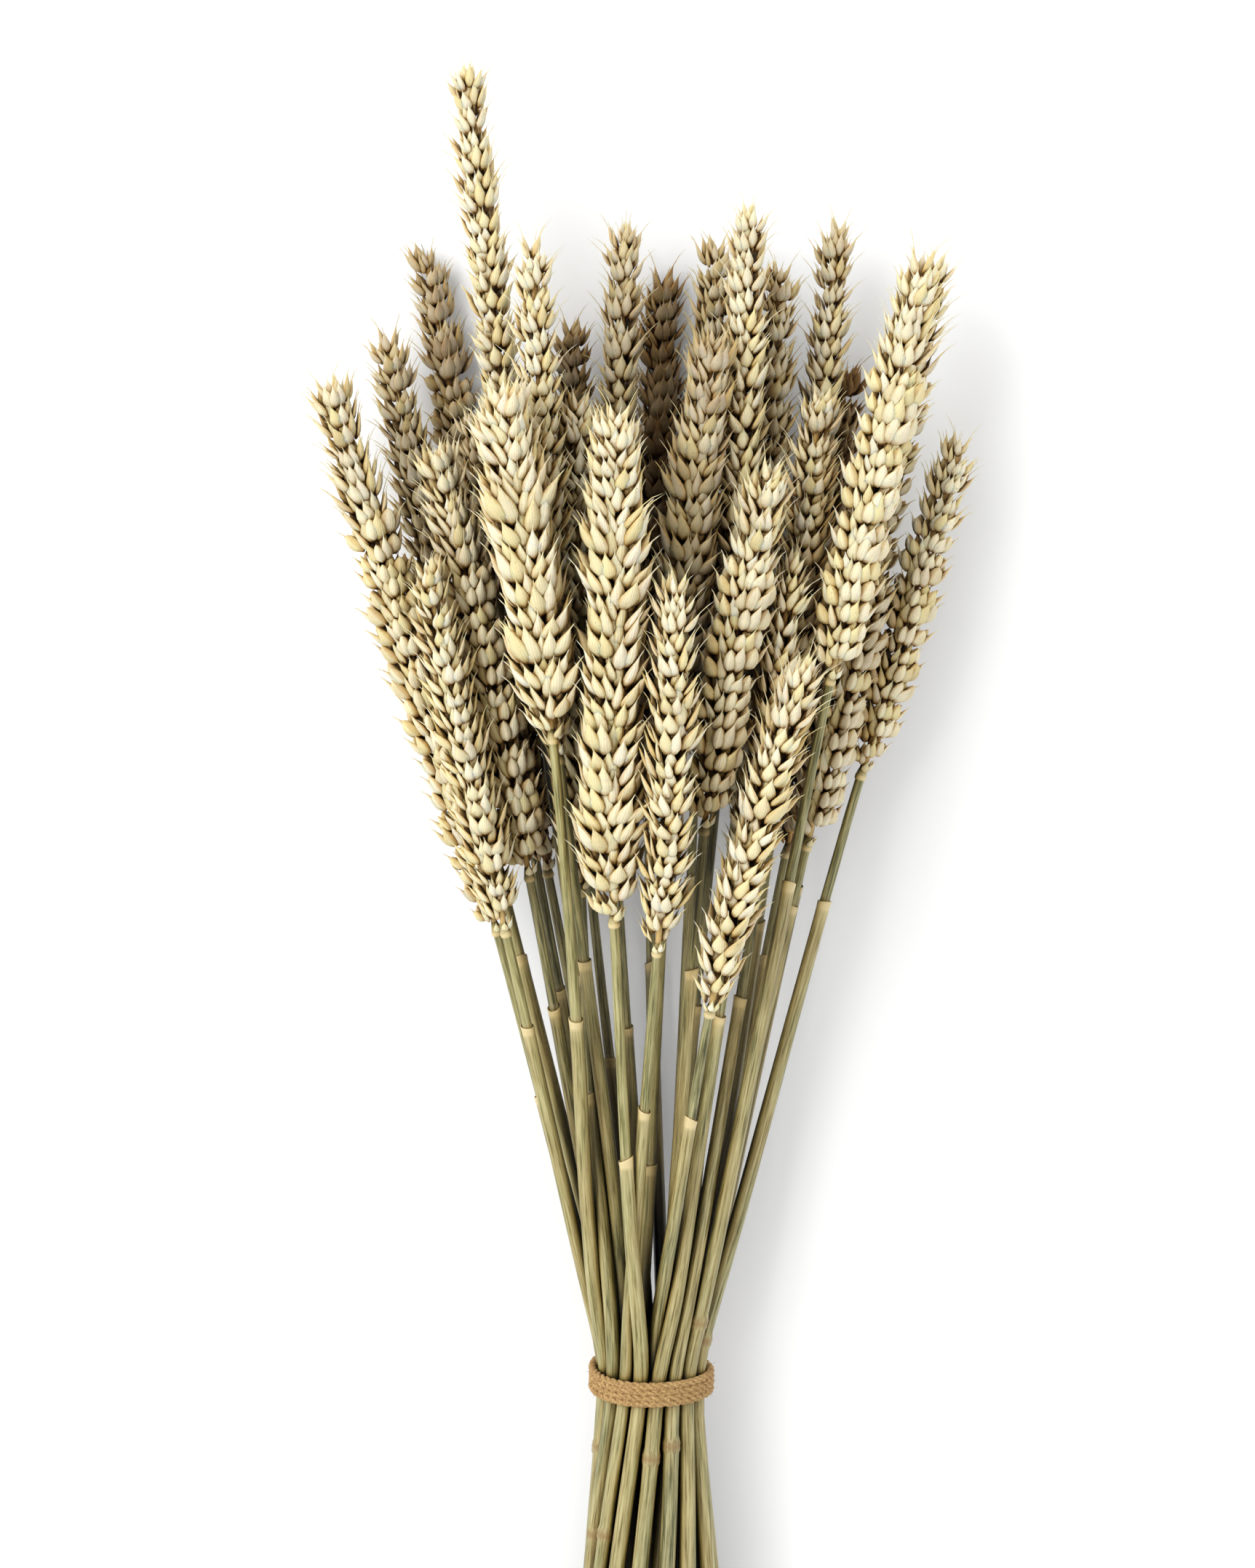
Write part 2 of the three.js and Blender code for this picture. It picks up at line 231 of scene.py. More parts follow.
def dryHuskMaterial():
    # Dried wheat chaff: thin, papery, bran-coloured leaf, grown not made. It scatters light almost evenly,
    # with a faint waxy gleam on the keels. It browns where the weather reached it. Painted shade darkens
    # its foot, its rims, its crevices and the ears buried at the back.
    material, tree, shader = surface("dried wheat chaff", 0.62, 0.3)
    # across from -1 to 1, along from 0 to 1, across in metres
    place = add(tree, "ShaderNodeAttribute", {"attribute_name": "husk"})
    parts = add(tree, "ShaderNodeSeparateXYZ", inputs={"Vector": place.outputs["Vector"]})
    tint = add(tree, "ShaderNodeAttribute", {"attribute_name": "tint"})
    shade = add(tree, "ShaderNodeAttribute", {"attribute_name": "shade"})
    age = add(tree, "ShaderNodeAttribute", {"attribute_name": "age"})
    object3 = add(tree, "ShaderNodeTexCoord")

    fade = add(tree, "ShaderNodeValToRGB", inputs={"Fac": tint.outputs["Fac"]})
    fade.color_ramp.elements[0].color = linear("#e9dda8")
    fade.color_ramp.elements[1].color = linear("#f3eed8")
    middle = fade.color_ramp.elements.new(0.5)
    middle.color = linear("#efe7c2")

    # cloudy weathering, patches about 9 mm across
    clouds = add(tree, "ShaderNodeTexNoise", inputs={
        "Vector": object3.outputs["Object"], "Scale": 110.0, "Detail": 3.0, "Roughness": 0.6})
    weather = add(tree, "ShaderNodeMath", {"operation": "MULTIPLY_ADD"}, {
        0: clouds.outputs["Fac"], 1: 1.5, 2: -0.72})
    agedAndShaded = add(tree, "ShaderNodeMath", {"operation": "MULTIPLY_ADD", "use_clamp": True}, {
        0: weather.outputs[0], 1: 0.55, 2: age.outputs["Fac"]})
    browner = add(tree, "ShaderNodeMath", {"operation": "MULTIPLY_ADD", "use_clamp": True}, {
        0: shade.outputs["Fac"], 1: 0.12, 2: agedAndShaded.outputs[0]})
    # the brown mixed in here is partly weathering and partly painted shade on buried ears
    brownedAndShaded = add(tree, "ShaderNodeMix", {"data_type": "RGBA"}, {
        0: browner.outputs[0], 6: fade.outputs["Color"], 7: linear("#7a5726")})

    # painted shade darkens the foot of a husk, where it is tucked away under the next, and its tip dries
    # tan
    foot = add(tree, "ShaderNodeMapRange", {"interpolation_type": "SMOOTHSTEP"}, {
        "Value": parts.outputs["Y"], "From Min": 0.0, "From Max": 0.3, "To Min": 0.6, "To Max": 0.0})
    footShaded = add(tree, "ShaderNodeMix", {"data_type": "RGBA"}, {
        0: foot.outputs[0], 6: brownedAndShaded.outputs[2], 7: linear("#b48632")})
    tip = add(tree, "ShaderNodeMapRange", {"interpolation_type": "SMOOTHSTEP"}, {
        "Value": parts.outputs["Y"], "From Min": 0.86, "From Max": 1.05, "To Min": 0.0, "To Max": 0.12})
    tipped = add(tree, "ShaderNodeMix", {"data_type": "RGBA"}, {
        0: tip.outputs[0], 6: footShaded.outputs[2], 7: linear("#b99660")})

    # painted shade darkens a husk's thin rims, so each one is outlined against the next
    reach = add(tree, "ShaderNodeMath", {"operation": "ABSOLUTE"}, {0: parts.outputs["X"]})
    rim = add(tree, "ShaderNodeMapRange", {"interpolation_type": "SMOOTHSTEP"}, {
        "Value": reach.outputs[0], "From Min": 0.74, "From Max": 0.87, "To Min": 0.0, "To Max": 0.4})
    rimShaded = add(tree, "ShaderNodeMix", {"data_type": "RGBA"}, {
        0: rim.outputs[0], 6: tipped.outputs[2], 7: linear("#b58a38")})

    # lengthwise nerves: 0.15 mm apart on the real husk, drawn at 0.6 mm so that they show
    nervePhase = add(tree, "ShaderNodeMath", {"operation": "MULTIPLY"}, {
        0: parts.outputs["Z"], 1: 2 * math.pi / (0.6 * mm)})
    nerve = add(tree, "ShaderNodeMath", {"operation": "COSINE"}, {0: nervePhase.outputs[0]})
    nerved = add(tree, "ShaderNodeMapRange", inputs={
        "Value": nerve.outputs[0], "From Min": -1.0, "From Max": 1.0, "To Min": 0.0, "To Max": 0.2})
    lined = add(tree, "ShaderNodeMix", {"data_type": "RGBA"}, {
        0: nerved.outputs[0], 6: rimShaded.outputs[2], 7: linear("#b59a62")})

    # pin-prick mould specks, 0.3 mm across
    specks = add(tree, "ShaderNodeTexNoise", inputs={
        "Vector": object3.outputs["Object"], "Scale": 2400.0, "Detail": 1.0})
    speck = add(tree, "ShaderNodeMapRange", inputs={
        "Value": specks.outputs["Fac"], "From Min": 0.69, "From Max": 0.76, "To Min": 0.0, "To Max": 0.6})
    speckled = add(tree, "ShaderNodeMix", {"data_type": "RGBA"}, {
        0: speck.outputs[0], 6: lined.outputs[2], 7: linear("#5d4526")})
    # painted shade in the chaff's crevices and under other ears
    paintShade(tree, speckled.outputs[2], shader, paintedShade["chaff"])
    shader.inputs["Subsurface Weight"].default_value = 0.4
    shader.inputs["Subsurface Scale"].default_value = 1.6 * mm
    shader.inputs["Subsurface Radius"].default_value = (1.0, 0.6, 0.22)

    grain = add(tree, "ShaderNodeTexNoise", inputs={
        "Vector": object3.outputs["Object"], "Scale": 900.0, "Detail": 2.0})
    relief = add(tree, "ShaderNodeMath", {"operation": "MULTIPLY_ADD"}, {
        0: nerve.outputs[0], 1: 0.5, 2: grain.outputs["Fac"]})
    bump = add(tree, "ShaderNodeBump", inputs={
        "Height": relief.outputs[0], "Strength": 0.5, "Distance": 0.08 * mm})
    tree.links.new(bump.outputs["Normal"], shader.inputs["Normal"])
    return material


def strawMaterial():
    # Ripe straw: hollow grass stem with a waxy, silica-rich skin, so it has a soft satin streak along it.
    # The bare stem dries olive, the leaf sheath round it dries tan, and the sheath's lip stays cream.
    material, tree, shader = surface("dried wheat straw", 0.46, 0.42)
    place = add(tree, "ShaderNodeAttribute", {"attribute_name": "straw"})
    sheath = add(tree, "ShaderNodeAttribute", {"attribute_name": "sheath"})
    collar = add(tree, "ShaderNodeAttribute", {"attribute_name": "collar"})
    knot = add(tree, "ShaderNodeAttribute", {"attribute_name": "knot"})
    tint = add(tree, "ShaderNodeAttribute", {"attribute_name": "tint"})

    # streaks that run 25 times as far along the stem as across it, 0.3 mm wide
    drawn = add(tree, "ShaderNodeVectorMath", {"operation": "MULTIPLY"}, {
        0: place.outputs["Vector"], 1: (1800.0, 70.0, 1800.0)})
    streaks = add(tree, "ShaderNodeTexNoise", inputs={
        "Vector": drawn.outputs[0], "Scale": 1.0, "Detail": 3.0, "Roughness": 0.65})
    blotched = add(tree, "ShaderNodeVectorMath", {"operation": "MULTIPLY"}, {
        0: place.outputs["Vector"], 1: (260.0, 34.0, 260.0)})
    blotches = add(tree, "ShaderNodeTexNoise", inputs={
        "Vector": blotched.outputs[0], "Scale": 1.0, "Detail": 2.0})

    bare = add(tree, "ShaderNodeValToRGB", inputs={"Fac": tint.outputs["Fac"]})
    bare.color_ramp.elements[0].color = linear("#42421e")
    bare.color_ramp.elements[1].color = linear("#7f7944")
    middle = bare.color_ramp.elements.new(0.5)
    middle.color = linear("#5b5b2e")
    leafy = add(tree, "ShaderNodeMapRange", inputs={
        "Value": blotches.outputs["Fac"], "From Min": 0.36, "From Max": 0.64,
        "To Min": 0.0, "To Max": 0.85})
    dressed = add(tree, "ShaderNodeMath", {"operation": "MULTIPLY"}, {
        0: sheath.outputs["Fac"], 1: leafy.outputs[0]})
    body = add(tree, "ShaderNodeMix", {"data_type": "RGBA"}, {
        0: dressed.outputs[0], 6: bare.outputs["Color"], 7: linear("#8d7b48")})
    streak = add(tree, "ShaderNodeMapRange", inputs={
        "Value": streaks.outputs["Fac"], "From Min": 0.38, "From Max": 0.66, "To Min": 0.0, "To Max": 0.52})
    streaked = add(tree, "ShaderNodeMix", {"data_type": "RGBA"}, {
        0: streak.outputs[0], 6: body.outputs[2], 7: linear("#d8ce9a")})
    dark = add(tree, "ShaderNodeMapRange", inputs={
        "Value": streaks.outputs["Fac"], "From Min": 0.44, "From Max": 0.3, "To Min": 0.0, "To Max": 0.5})
    darkened = add(tree, "ShaderNodeMix", {"data_type": "RGBA"}, {
        0: dark.outputs[0], 6: streaked.outputs[2], 7: linear("#25210d")})
    ringed = add(tree, "ShaderNodeMix", {"data_type": "RGBA"}, {
        0: collar.outputs["Fac"], 6: darkened.outputs[2], 7: linear("#cfbd8c")})
    # the knot colour, which also paints shade in the bore and inside the sheath's mouth
    knotted = add(tree, "ShaderNodeMix", {"data_type": "RGBA"}, {
        0: knot.outputs["Fac"], 6: ringed.outputs[2], 7: linear("#8b6f45")})
    # painted shade in the straw's crevices and under other stalks
    paintShade(tree, knotted.outputs[2], shader, paintedShade["straw"])
    bump = add(tree, "ShaderNodeBump", inputs={
        "Height": streaks.outputs["Fac"], "Strength": 0.55, "Distance": 0.12 * mm})
    tree.links.new(bump.outputs["Normal"], shader.inputs["Normal"])
    return material


def juteMaterial():
    # Jute twine: spun bast fibre, coarse and matte, golden brown, with paler hairs standing off it.
    material, tree, shader = surface("spun jute", 0.85, 0.2)
    place = add(tree, "ShaderNodeTexCoord")
    fibres = add(tree, "ShaderNodeTexNoise", inputs={
        "Vector": place.outputs["Object"], "Scale": 1600.0, "Detail": 3.0, "Roughness": 0.7})
    tones = add(tree, "ShaderNodeValToRGB", inputs={"Fac": fibres.outputs["Fac"]})
    tones.color_ramp.elements[0].position = 0.3
    tones.color_ramp.elements[0].color = linear("#7d5c33")
    tones.color_ramp.elements[1].position = 0.7
    tones.color_ramp.elements[1].color = linear("#caa873")
    tree.links.new(tones.outputs["Color"], shader.inputs["Base Color"])
    bump = add(tree, "ShaderNodeBump", inputs={
        "Height": fibres.outputs["Fac"], "Strength": 0.7, "Distance": 0.2 * mm})
    tree.links.new(bump.outputs["Normal"], shader.inputs["Normal"])
    return material


chaff = dryHuskMaterial()
straw = strawMaterial()
jute = juteMaterial()
print("materials made")


husk = {
    "sides": 6,
    # how far along, how wide, and how thick, each as a share
    "leaf": [(0, 0.3, 0.3), (0.13, 0.7, 0.74), (0.3, 0.98, 1.0), (0.5, 0.92, 0.95),
             (0.7, 0.6, 0.66), (0.86, 0.28, 0.36), (1.0, 0.09, 0.14)],
    "grain": [(0, 0.4, 0.36), (0.1, 0.7, 0.68), (0.28, 0.96, 0.97), (0.52, 1.0, 1.0),
              (0.76, 0.8, 0.8), (0.91, 0.48, 0.5), (1.0, 0.14, 0.16)],
    "backShare": 0.64,  # of the thickness, on the rounded outer side
    "keel": 1.18,
    "hair": 0.15,  # an awn's radius where it leaves its husk
    "bow": 0.32,  # how far a husk bulges between its foot and its tip
    "flick": (0.2, 0.7),  # the least that its tip turns outwards, and how much more it may
    "grainBelow": 0.5,  # a beak shorter than this is a grain that shows between its husks
}


def huskShape(length, width, depth, beak, bow, flick):  # y along the husk, z out of its back
    points, local = [], []
    sides = husk["sides"]
    outline = husk["grain"] if beak < husk["grainBelow"] else husk["leaf"]
    rings = [(t * length, w * width / 2, d * depth, t) for t, w, d in outline]
    rings.append((length + beak * 0.5, husk["hair"] * 0.8, husk["hair"] * 1.6, 1.0))
    for y, half, thick, t in rings:
        z0 = bow * math.sin(math.pi * min(1, y / length)) + flick * (y / length) ** 3
        for k in range(sides):
            angle = 2 * math.pi * k / sides + math.pi / 2
            x, up = math.cos(angle), math.sin(angle)
            share = husk["backShare"] if up > 0 else 1 - husk["backShare"]
            points.append((half * x, y, z0 + up * share * thick * (husk["keel"] if k == 0 else 1)))
            local.append((x, t, half * x * mm))
    last = (length + beak) / length
    points.append((0, length + beak, flick * last ** 3))
    local.append((0, 1.05, 0))
    faces = [tuple(range(sides))[::-1]]
    for ring in range(len(rings) - 1):
        for k in range(sides):
            a, b = ring * sides + k, ring * sides + (k + 1) % sides
            faces.append((a, b, b + sides, a + sides))
    top = (len(rings) - 1) * sides
    faces += [(top + k, top + (k + 1) % sides, len(points) - 1) for k in range(sides)]
    # the rings run from +z towards -x, so the faces above point inwards until they are turned over
    return points, [f[::-1] for f in faces], local


# Each husk: x y z of its foot, lean to the side, tilt outwards, yaw of its back, then length, width,
# depth and beak.
spikeletKinds = {
    "slim": [
        (-2.5, 0.0, 0.0, -13, 3, -76, 8.7, 5.0, 1.4, 2.2),
        (2.5, 0.4, 0.0, 13, 4, 76, 8.4, 5.0, 1.4, 2.2),
        (-2.9, 0.6, 1.7, -25, 14, -64, 9.4, 4.9, 1.6, 2.6),
        (2.9, 1.2, 1.7, 25, 13, 64, 9.2, 4.9, 1.6, 2.6),
        (-2.2, 1.0, 3.3, -17, 21, -46, 9.4, 4.6, 1.6, 3.0),
        (2.2, 1.6, 3.3, 19, 20, 46, 9.4, 4.6, 1.6, 3.0),
        (0.2, 2.4, 3.6, 3, 17, 6, 9.2, 4.9, 1.9, 2.2),
        (-0.6, 3.6, 2.0, -7, 9, -30, 8.2, 4.4, 1.8, 2.0),
    ],
    "plump": [
        (-2.6, 0.0, 0.0, -13, 3, -76, 8.2, 4.9, 1.6, 2.0),
        (2.6, 0.3, 0.0, 13, 4, 76, 8.2, 4.9, 1.6, 2.0),
        (-3.1, 1.0, 2.0, -18, 12, -64, 7.3, 4.8, 3.6, 0.4),
        (3.1, 1.5, 2.0, 18, 12, 64, 7.3, 4.8, 3.6, 0.4),
        (-2.3, 0.5, 3.4, -18, 21, -46, 9.0, 4.8, 1.8, 2.6),
        (2.3, 1.0, 3.4, 20, 20, 46, 9.0, 4.8, 1.8, 2.6),
        (0.2, 1.8, 3.8, 2, 18, 6, 7.3, 4.9, 3.6, 0.3),
        (-0.5, 3.4, 2.2, -5, 10, -20, 8.0, 4.4, 2.2, 2.0),
    ],
    "tip": [
        (-0.9, 0.0, 0.5, -12, 8, -60, 8.4, 3.7, 1.5, 3.4),
        (0.9, 0.4, 0.5, 12, 8, 60, 8.4, 3.7, 1.5, 3.4),
        (0.0, 0.8, 1.1, 3, 12, 10, 9.6, 3.9, 1.7, 4.2),
        (0.0, 1.2, -0.9, -4, -13, 180, 9.2, 3.8, 1.7, 3.8),
        (-1.0, 2.0, -0.4, -9, -6, -120, 8.7, 3.5, 1.5, 3.0),
    ],
    "stunted": [
        (-1.5, 0.0, 0.3, -14, 12, -62, 6.9, 4.5, 1.6, 1.2),
        (1.5, 0.2, 0.3, 14, 12, 62, 6.9, 4.5, 1.6, 1.2),
        (0.0, 0.9, 1.4, 0, 20, 0, 7.1, 4.5, 1.8, 1.2),
        (0.0, 2.0, 0.8, 5, 8, 20, 6.4, 4.3, 1.8, 1.0),
    ],
}
spikelets = {
    # how many of each sort, in the order in which the ears pick them
    "sorts": [("slim", 4, 0.0), ("plump", 4, 0.0), ("slim", 3, 4.5), ("tip", 1, 6.0), ("stunted", 2, 0.0)],
    "jitter": 0.11,
    "seed": 5,
}


def spikeletShape(name, kind, awn, draw):
    points, faces, local, tints = [], [], [], []
    for n, (x, y, z, lean, tilt, yaw, length, width, depth, beak) in enumerate(spikeletKinds[kind]):
        wobble = draw.normal(0, 1, 7) * spikelets["jitter"]
        if awn and 1 < n < 4:
            beak += awn * draw.uniform(0.5, 1.3)
        shape, rims, places = huskShape(
            length * (1 + wobble[0] * 0.6), width * (1 + wobble[1]), depth * (1 + wobble[2]),
            beak * (1 + 2 * wobble[3]), husk["bow"], husk["flick"][0] + husk["flick"][1] * draw.random())
        turn = (Matrix.Rotation(math.radians(-(lean + 40 * wobble[4])), 3, "Z")
                @ Matrix.Rotation(math.radians(tilt + 30 * wobble[5]), 3, "X")
                @ Matrix.Rotation(math.radians(yaw + 60 * wobble[6]), 3, "Y"))
        first = len(points)
        points += [(turn @ Vector(p) + Vector((x, y, z))) * mm for p in shape]
        faces += [tuple(first + i for i in rim) for rim in rims]
        local += places
        tints += [draw.random()] * len(shape)
    mesh = meshOf(name, points, faces, husk=local, tint=tints)
    mesh.shade_smooth()
    return bpy.data.objects.new(name, mesh)


def spikeletShelf():
    shelf = bpy.data.collections.new("spikelets")
    draw = np.random.default_rng(spikelets["seed"])
    first, number = {}, 0
    for kind, count, awn in spikelets["sorts"]:
        label = kind + ("Awned" if awn and kind != "tip" else "")
        first[label] = number
        for _ in range(count):
            shelf.objects.link(spikeletShape(f"spikelet{number:02d}", kind, awn, draw))
            number += 1
    return shelf, first


shelf, firstOf = spikeletShelf()


ear = {
    "pitch": 2.45 * mm,  # from one spikelet to the next, on the other side
    "splay": 1.5,  # degrees that a spikelet leans away from the ear's axis
    "standOff": 0.5 * mm,
    "normalGirth": 14.2 * mm,  # the spikelets are drawn for an ear this wide
    "rachis": 0.8 * mm,  # the radius of the ear's own stem
    "awnsFrom": 0.74,
    "surface": 0.2 * mm,  # the lowest that a husk may lie
    "wobble": (0.1, 0.3, 0.12),  # radians that a spikelet may be turned from its place, round each axis
    "sizes": (0.88, 1.12),
    "slip": 0.7 * mm,  # how far a spikelet may stand above or below its place
    # how large the spikelets are along the ear, from its foot to its tip
    "swell": [(0.0, 0.6), (0.05, 0.78), (0.16, 0.98), (0.6, 1.0), (0.8, 0.92), (0.92, 0.8), (1.0, 0.78)],
    "bareFoot": 0.4 * mm,
    "tipRoom": 6.5 * mm,  # left for the last spikelet
}


def wheatEarTree():
    tree, given, result = treeWith("wheatEar", [
        ("Pitch", "Float"), ("Size", "Float"), ("Splay", "Float"), ("Stand off", "Float"),
        ("Rachis radius", "Float"), ("Rank", "Vector"), ("First sort", "Int"), ("Awns from", "Float"),
        ("Age", "Float"), ("Surface", "Float"), ("Seed", "Int"), ("Spikelets", "Collection"),
        ("Chaff", "Material")])
    line = add(tree, "GeometryNodeMeshToCurve", inputs={"Mesh": given["Geometry"]}).outputs[0]
    dots = add(tree, "GeometryNodeCurveToPoints", {"mode": "LENGTH"}, {
        "Curve": line, "Length": given["Pitch"]})
    count = add(tree, "GeometryNodeAttributeDomainSize", {"component": "POINTCLOUD"}, {
        0: dots.outputs["Points"]}).outputs["Point Count"]
    index = add(tree, "GeometryNodeInputIndex").outputs[0]
    lastIndex = add(tree, "ShaderNodeMath", {"operation": "SUBTRACT"}, {0: count, 1: 1.0}).outputs[0]
    share = add(tree, "ShaderNodeMath", {"operation": "DIVIDE"}, {0: index, 1: lastIndex}).outputs[0]
    isTip = add(tree, "FunctionNodeCompare", {"operation": "GREATER_EQUAL"}, {
        0: share, 1: 0.999}).outputs[0]
    isBody = add(tree, "ShaderNodeMath", {"operation": "SUBTRACT"}, {0: 1.0, 1: isTip}).outputs[0]

    # every other spikelet stands on the other rank
    odd = add(tree, "ShaderNodeMath", {"operation": "MODULO"}, {0: index, 1: 2.0}).outputs[0]
    side = add(tree, "ShaderNodeMath", {"operation": "MULTIPLY_ADD"}, {0: odd, 1: -2.0, 2: 1.0}).outputs[0]
    out = add(tree, "ShaderNodeVectorMath", {"operation": "SCALE"}, {
        0: given["Rank"], "Scale": side}).outputs[0]
    upright = add(tree, "FunctionNodeAxesToRotation", {"primary_axis": "Y", "secondary_axis": "Z"}, {
        "Primary Axis": dots.outputs["Tangent"], "Secondary Axis": out}).outputs[0]

    wobble = add(tree, "FunctionNodeRandomValue", {"data_type": "FLOAT_VECTOR"}, {
        0: [-w for w in ear["wobble"]], 1: ear["wobble"], "Seed": given["Seed"]}).outputs[0]
    leaning = add(tree, "ShaderNodeMath", {"operation": "MULTIPLY"}, {
        0: given["Splay"], 1: isBody}).outputs[0]
    lean = add(tree, "ShaderNodeCombineXYZ", inputs={"X": leaning}).outputs[0]
    turn = add(tree, "ShaderNodeVectorMath", {"operation": "ADD"}, {0: lean, 1: wobble}).outputs[0]
    spin = add(tree, "FunctionNodeEulerToRotation", inputs={0: turn}).outputs[0]
    facing = add(tree, "FunctionNodeRotateRotation", {"rotation_space": "LOCAL"}, {
        0: upright, 1: spin}).outputs[0]

    swell = add(tree, "ShaderNodeFloatCurve", inputs={"Value": share})
    profile = swell.mapping.curves[0]
    for at, size in ear["swell"][1:-1]:
        profile.points.new(at, size)
    profile.points[0].location = ear["swell"][0]
    profile.points[-1].location = ear["swell"][-1]
    swell.mapping.update()
    vary = add(tree, "FunctionNodeRandomValue", {"data_type": "FLOAT"}, {
        2: ear["sizes"][0], 3: ear["sizes"][1], "Seed": given["Seed"]}).outputs[1]
    sized = add(tree, "ShaderNodeMath", {"operation": "MULTIPLY"}, {
        0: swell.outputs[0], 1: given["Size"]}).outputs[0]
    size = add(tree, "ShaderNodeMath", {"operation": "MULTIPLY"}, {0: sized, 1: vary}).outputs[0]

    offset = add(tree, "ShaderNodeMath", {"operation": "MULTIPLY"}, {
        0: given["Stand off"], 1: isBody}).outputs[0]
    aside = add(tree, "ShaderNodeVectorMath", {"operation": "SCALE"}, {0: out, "Scale": offset}).outputs[0]
    slip = add(tree, "FunctionNodeRandomValue", {"data_type": "FLOAT"}, {
        2: -ear["slip"], 3: ear["slip"], "Seed": given["Seed"]}).outputs[1]
    upwards = add(tree, "ShaderNodeVectorMath", {"operation": "SCALE"}, {
        0: dots.outputs["Tangent"], "Scale": slip}).outputs[0]
    moved = add(tree, "ShaderNodeVectorMath", {"operation": "ADD"}, {0: aside, 1: upwards}).outputs[0]
    seats = add(tree, "GeometryNodeSetPosition", inputs={
        "Geometry": dots.outputs["Points"], "Offset": moved}).outputs[0]

    # which spikelet stands where
    anyOf4 = add(tree, "FunctionNodeRandomValue", {"data_type": "INT"}, {
        4: 0, 5: 3, "Seed": given["Seed"]}).outputs[2]
    common = add(tree, "ShaderNodeMath", {"operation": "ADD"}, {
        0: given["First sort"], 1: anyOf4}).outputs[0]
    anyOf3 = add(tree, "FunctionNodeRandomValue", {"data_type": "INT"}, {
        4: firstOf["slimAwned"], 5: firstOf["slimAwned"] + 2, "Seed": given["Seed"]}).outputs[2]
    isHigh = add(tree, "FunctionNodeCompare", {"operation": "GREATER_THAN"}, {
        0: share, 1: given["Awns from"]}).outputs[0]
    isLow = add(tree, "FunctionNodeCompare", {"operation": "LESS_THAN"}, {0: index, 1: 0.5}).outputs[0]
    pick = add(tree, "GeometryNodeSwitch", {"input_type": "INT"}, {
        0: isHigh, 1: common, 2: anyOf3}).outputs[0]
    pick = add(tree, "GeometryNodeSwitch", {"input_type": "INT"}, {
        0: isLow, 1: pick, 2: firstOf["stunted"]}).outputs[0]
    pick = add(tree, "GeometryNodeSwitch", {"input_type": "INT"}, {
        0: isTip, 1: pick, 2: firstOf["tip"]}).outputs[0]

    stock = add(tree, "GeometryNodeCollectionInfo", {"transform_space": "ORIGINAL"}, {
        "Collection": given["Spikelets"], "Separate Children": True, "Reset Children": True}).outputs[0]
    stood = add(tree, "GeometryNodeInstanceOnPoints", inputs={
        "Points": seats, "Instance": stock, "Pick Instance": True, "Instance Index": pick,
        "Rotation": facing, "Scale": size}).outputs[0]
    tone = add(tree, "FunctionNodeRandomValue", {"data_type": "FLOAT"}, {
        2: 0.0, 3: 1.0, "Seed": given["Seed"]}).outputs[1]
    toned = add(tree, "GeometryNodeStoreNamedAttribute", {"domain": "INSTANCE", "data_type": "FLOAT"}, {
        "Geometry": stood, "Name": "shade", "Value": tone}).outputs[0]
    real = add(tree, "GeometryNodeRealizeInstances", inputs={0: toned}).outputs[0]

    ring = add(tree, "GeometryNodeCurvePrimitiveCircle", inputs={
        "Resolution": 7, "Radius": given["Rachis radius"]}).outputs[0]
    rachis = add(tree, "GeometryNodeCurveToMesh", inputs={
        "Curve": line, "Profile Curve": ring, "Fill Caps": True}).outputs[0]
    whole = add(tree, "GeometryNodeJoinGeometry")
    tree.links.new(rachis, whole.inputs[0])
    tree.links.new(real, whole.inputs[0])
    # husks that reach the surface are pressed flat on it
    place = add(tree, "GeometryNodeInputPosition").outputs[0]
    parts = add(tree, "ShaderNodeSeparateXYZ", inputs={0: place}).outputs
    height = add(tree, "ShaderNodeMath", {"operation": "MAXIMUM"}, {
        0: parts["Z"], 1: given["Surface"]}).outputs[0]
    raised = add(tree, "ShaderNodeCombineXYZ", inputs={0: parts["X"], 1: parts["Y"], 2: height}).outputs[0]
    pressed = add(tree, "GeometryNodeSetPosition", inputs={
        "Geometry": whole.outputs[0], "Position": raised}).outputs[0]
    # each ear's weathering and painted shade, for the chaff colour
    agedAndShadedEar = add(tree, "GeometryNodeStoreNamedAttribute", {"domain": "POINT", "data_type": "FLOAT"}, {
        "Geometry": pressed, "Name": "age", "Value": given["Age"]}).outputs[0]
    dressed = add(tree, "GeometryNodeSetMaterial", inputs={
        "Geometry": agedAndShadedEar, "Material": given["Chaff"]}).outputs[0]
    tree.links.new(dressed, result[0])
    return tree


earTree = wheatEarTree()
for number, line in lines.items():
    turn = math.radians(bundle["earTurn"][number - 1])
    rank = (math.cos(turn), 0.0, math.sin(turn))
    node = f"ear_{number:02d}"
    first, last = line["foot"] + ear["bareFoot"], line["tip"] - ear["tipRoom"]
    path = lineMesh(node + "Line", line, first, last, 6 * mm)
    piece = grown(node + "_husks", path, earTree, {
        "Pitch": ear["pitch"],
        "Size": line["girth"] / ear["normalGirth"],
        "Splay": math.radians(ear["splay"]),
        "Stand off": ear["standOff"],
        "Rachis radius": ear["rachis"],
        "Rank": rank,
        "First sort": firstOf["plump"] if number in bundle["plumpEars"] else firstOf["slim"],
        "Awns from": ear["awnsFrom"],
        "Age": bundle["earAgeAndShade"][number - 1],
        "Surface": ear["surface"],
        "Seed": 100 + number,
        "Spikelets": shelf,
        "Chaff": chaff,
    })
    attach(piece, "root")
    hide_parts(node)
for spare in list(shelf.objects):
    bpy.data.objects.remove(spare)
bpy.data.collections.remove(shelf)
print("ears grown")


